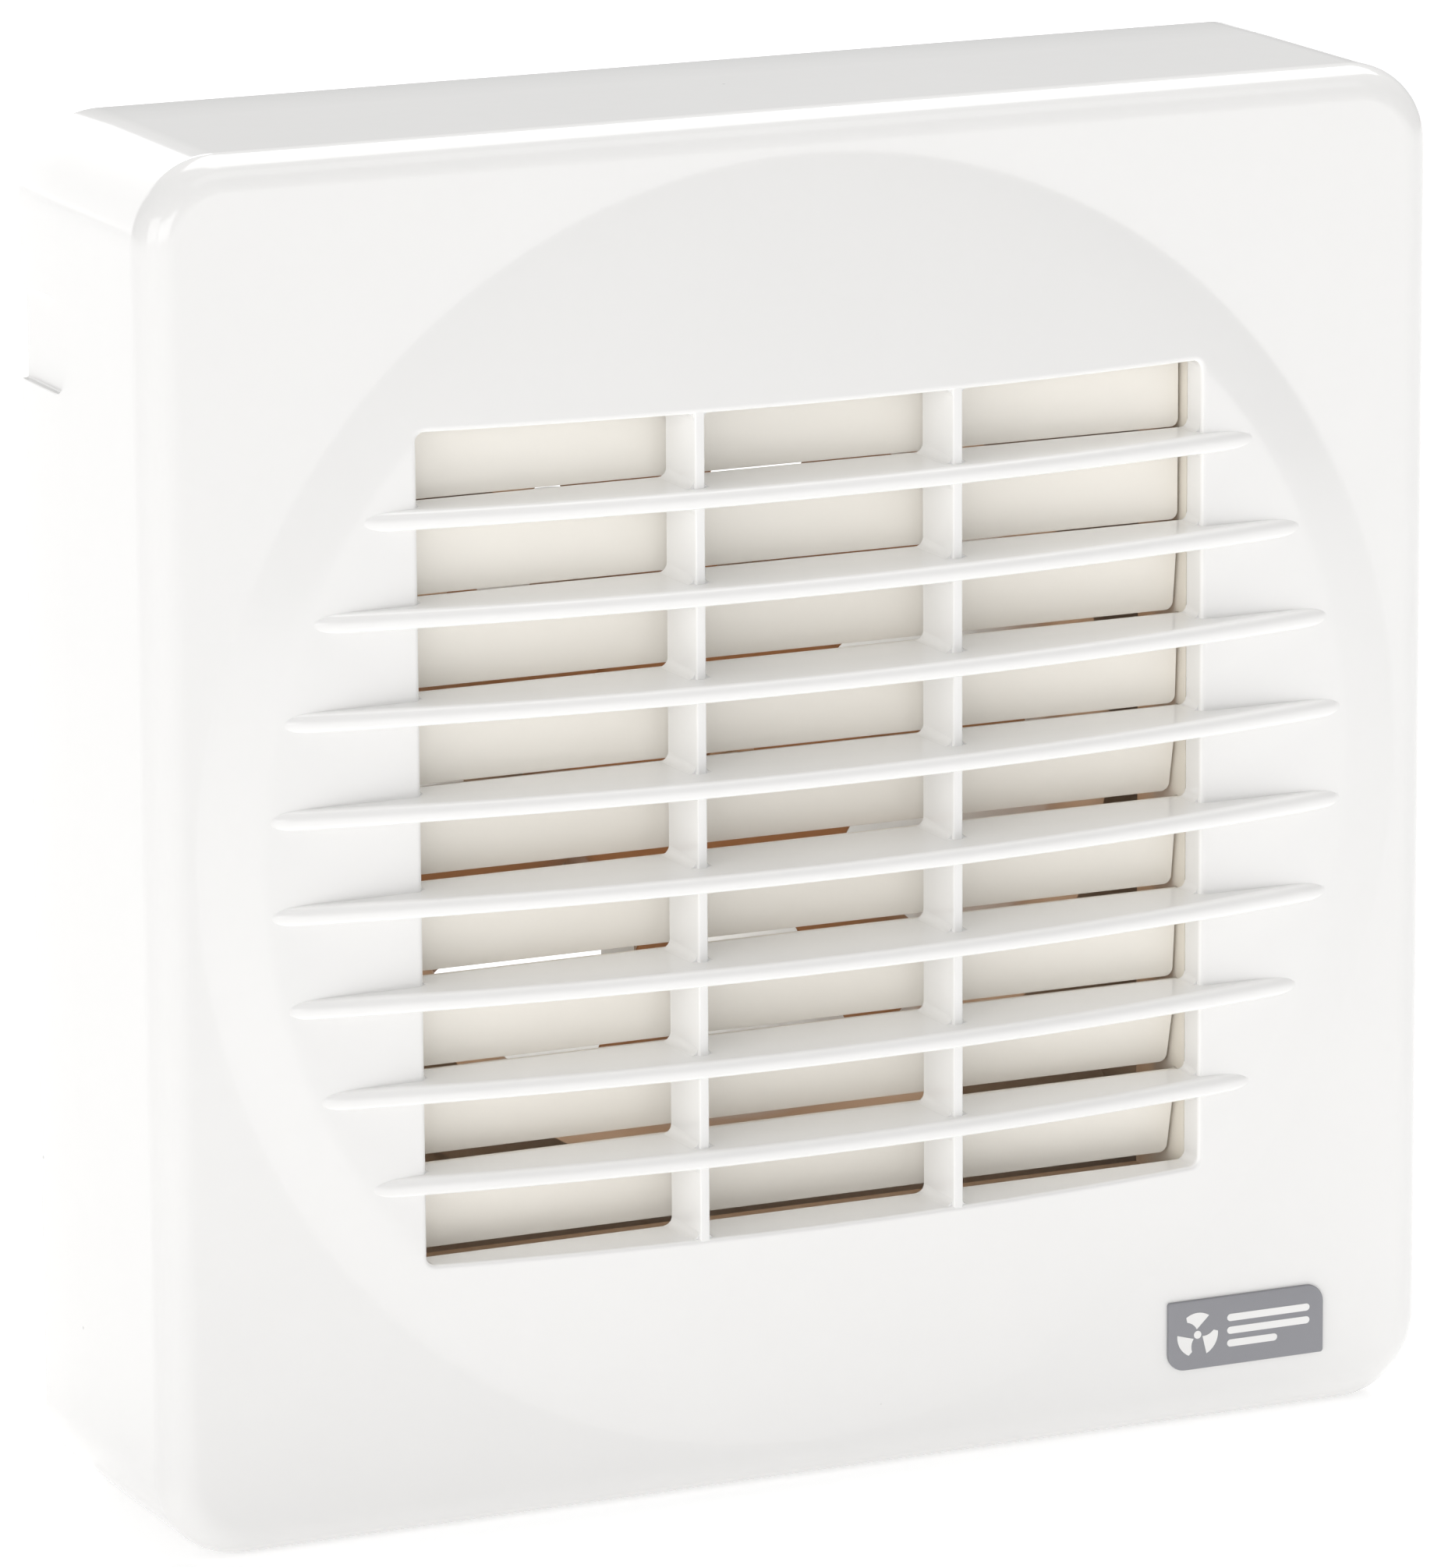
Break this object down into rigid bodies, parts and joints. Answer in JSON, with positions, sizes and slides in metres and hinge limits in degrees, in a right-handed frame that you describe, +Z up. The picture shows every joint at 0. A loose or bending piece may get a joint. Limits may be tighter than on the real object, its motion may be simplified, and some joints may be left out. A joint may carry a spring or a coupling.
{
  "type": "bathroom extractor fan",
  "caption": "Square wall fan for a round duct: domed louvre grille cover, linked shutter flaps opened by a wax capsule, axial impeller and motor in the spigot.",
  "frame": {"origin": "on the duct axis, in the plane of the wall (rear face of the backplate)", "axes": "+Y along the duct axis into the wall, +Z up, +X to the right seen from the room"},
  "size_m": [0.164, 0.1054, 0.164],
  "materials": {
    "cover_abs": "glossy white ABS",
    "casing_pp": "satin white polypropylene",
    "flap_abs": "satin cream-white ABS, slightly yellowed",
    "frame_abs": "satin off-white ABS",
    "badge_grey": "grey printed plate",
    "zinc_steel": "zinc-plated steel",
    "brass": "plain brass",
    "bronze": "oil-soaked sintered bronze",
    "copper_wire": "enamelled copper wire",
    "core_steel": "stamped electrical steel",
    "impeller_pp": "moulded grey polypropylene",
    "rubber_grey": "moulded grey rubber",
    "nylon": "natural nylon",
    "lead_brown": "brown wire insulation",
    "lead_grey": "grey wire insulation"
  },
  "bodies": {
    "root": {"backplate": "casing_pp", "fan_duct": "casing_pp", "duct_screws": "zinc_steel", "motor_bracket": "casing_pp", "motor_can": "zinc_steel", "motor_end_cap": "zinc_steel", "motor_bushes": "bronze", "stator_core": "core_steel", "stator_windings": "copper_wire", "motor_screws": "zinc_steel", "terminal_block": "nylon", "terminal_screws": "brass", "cord_clamp": "casing_pp", "cord_clamp_screws": "zinc_steel", "cable_grommet": "rubber_grey", "shutter_frame": "frame_abs", "frame_screws": "zinc_steel", "actuator_bracket": "casing_pp", "bracket_screws": "zinc_steel", "wax_capsule": "brass", "return_spring": "zinc_steel", "motor_leads": "lead_brown", "heater_leads": "lead_grey"},
    "rotor": {"impeller": "impeller_pp", "motor_shaft": "zinc_steel", "rotor_core": "core_steel", "impeller_nut": "zinc_steel", "thrust_washers": "nylon"},
    "shutter_1": {"flap_1": "flap_abs"},
    "shutter_2": {"flap_2": "flap_abs"},
    "shutter_3": {"flap_3": "flap_abs"},
    "shutter_4": {"flap_4": "flap_abs"},
    "shutter_5": {"flap_5": "flap_abs"},
    "shutter_6": {"flap_6": "flap_abs"},
    "shutter_7": {"flap_7": "flap_abs"},
    "shutter_8": {"flap_8": "flap_abs"},
    "shutter_9": {"flap_9": "flap_abs"},
    "link": {"link_bar": "nylon"},
    "actuator_pin": {"plunger": "zinc_steel"},
    "cover": {"front_cover": "cover_abs", "badge_plate": "badge_grey"}
  },
  "joints": [
    {"name": "impeller_spin", "type": "hinge", "parent": "root", "child": "rotor", "pos_m": [0, 0, 0], "axis": [0, 1, 0], "continuous": true},
    {"name": "shutter_1_turn", "type": "hinge", "parent": "root", "child": "shutter_1", "pos_m": [0, -0.0359, 0.05035], "axis": [1, 0, 0], "range_deg": [0, 72]},
    {"name": "shutter_2_turn", "type": "hinge", "parent": "root", "child": "shutter_2", "pos_m": [0, -0.0359, 0.03916], "axis": [1, 0, 0], "range_deg": [0, 72]},
    {"name": "shutter_3_turn", "type": "hinge", "parent": "root", "child": "shutter_3", "pos_m": [0, -0.0359, 0.02797], "axis": [1, 0, 0], "range_deg": [0, 72]},
    {"name": "shutter_4_turn", "type": "hinge", "parent": "root", "child": "shutter_4", "pos_m": [0, -0.0359, 0.01678], "axis": [1, 0, 0], "range_deg": [0, 72]},
    {"name": "shutter_5_turn", "type": "hinge", "parent": "root", "child": "shutter_5", "pos_m": [0, -0.0359, 0.00559], "axis": [1, 0, 0], "range_deg": [0, 72]},
    {"name": "shutter_6_turn", "type": "hinge", "parent": "root", "child": "shutter_6", "pos_m": [0, -0.0359, -0.00559], "axis": [1, 0, 0], "range_deg": [0, 72]},
    {"name": "shutter_7_turn", "type": "hinge", "parent": "root", "child": "shutter_7", "pos_m": [0, -0.0359, -0.01678], "axis": [1, 0, 0], "range_deg": [0, 72]},
    {"name": "shutter_8_turn", "type": "hinge", "parent": "root", "child": "shutter_8", "pos_m": [0, -0.0359, -0.02797], "axis": [1, 0, 0], "range_deg": [0, 72]},
    {"name": "shutter_9_turn", "type": "hinge", "parent": "root", "child": "shutter_9", "pos_m": [0, -0.0359, -0.03916], "axis": [1, 0, 0], "range_deg": [0, 72]},
    {"name": "link_swing", "type": "hinge", "parent": "shutter_1", "child": "link", "pos_m": [0.0562, -0.03186, 0.04741], "axis": [1, 0, 0], "range_deg": [-72, 0]},
    {"name": "plunger_slide", "type": "slide", "parent": "root", "child": "actuator_pin", "axis": [0, 0, 1], "range_m": [0, 0.00588], "stiffness_N_per_m": 60, "springref_m": -0.001, "deforming": ["return_spring"]},
    {"name": "cover_pull", "type": "slide", "parent": "root", "child": "cover", "axis": [0, -1, 0], "range_m": [0, 0.06]}
  ],
  "couplings": [
    {"joint": "shutter_1_turn", "follows": "plunger_slide", "rad_per_m": 213.78},
    {"joint": "shutter_2_turn", "follows": "plunger_slide", "rad_per_m": 213.78},
    {"joint": "shutter_3_turn", "follows": "plunger_slide", "rad_per_m": 213.78},
    {"joint": "shutter_4_turn", "follows": "plunger_slide", "rad_per_m": 213.78},
    {"joint": "shutter_5_turn", "follows": "plunger_slide", "rad_per_m": 213.78},
    {"joint": "shutter_6_turn", "follows": "plunger_slide", "rad_per_m": 213.78},
    {"joint": "shutter_7_turn", "follows": "plunger_slide", "rad_per_m": 213.78},
    {"joint": "shutter_8_turn", "follows": "plunger_slide", "rad_per_m": 213.78},
    {"joint": "shutter_9_turn", "follows": "plunger_slide", "rad_per_m": 213.78},
    {"joint": "link_swing", "follows": "plunger_slide", "rad_per_m": -213.78}
  ]
}
